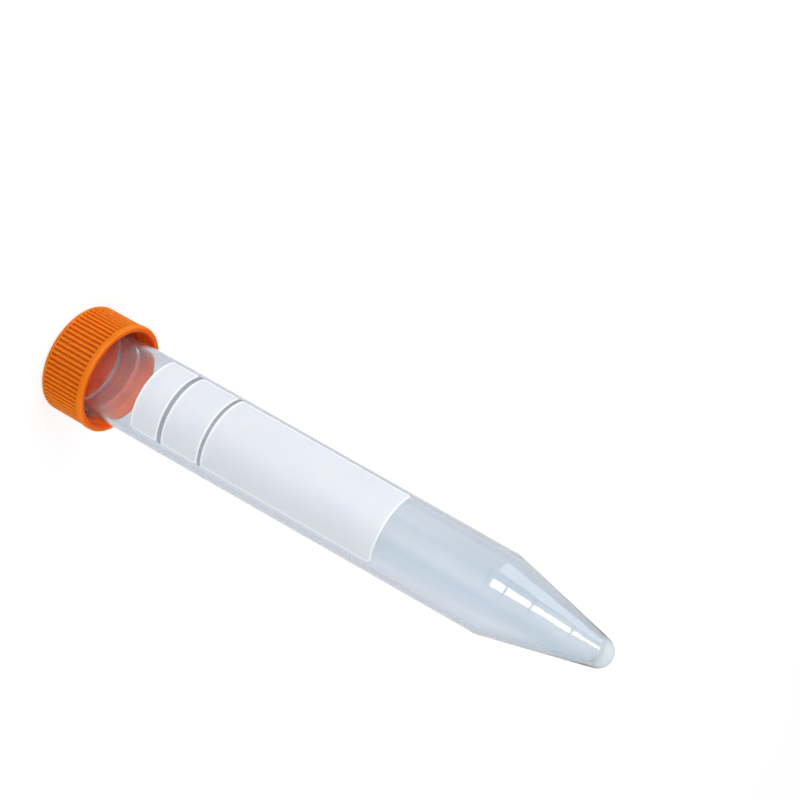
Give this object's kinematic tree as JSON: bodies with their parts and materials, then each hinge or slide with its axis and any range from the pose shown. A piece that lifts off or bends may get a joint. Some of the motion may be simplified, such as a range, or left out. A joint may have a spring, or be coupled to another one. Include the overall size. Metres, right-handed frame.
{
  "type": "conical centrifuge tube",
  "caption": "15 ml conical centrifuge tube of clear plastic with a ribbed orange screw cap, stored standing on its flat cap; the tube draws off the cap.",
  "frame": {"origin": "centre of the cap's closed end, which stands on the floor", "axes": "+Z along the tube from the cap to the tip; +X through the middle of the printed fields and the volume lines"},
  "size_m": [0.0226, 0.0224, 0.12],
  "materials": {
    "clear_plastic": "clear polypropylene, moulded glossy",
    "orange_plastic": "opaque orange polyethylene, moulded satin"
  },
  "bodies": {
    "cap_body": {"cap": "orange_plastic"},
    "tube_body": {"tube": "clear_plastic"}
  },
  "joints": [
    {"name": "tube_lift", "type": "slide", "parent": "cap_body", "child": "tube_body", "axis": [0, 0, 1], "range_m": [0, 0.03]}
  ]
}
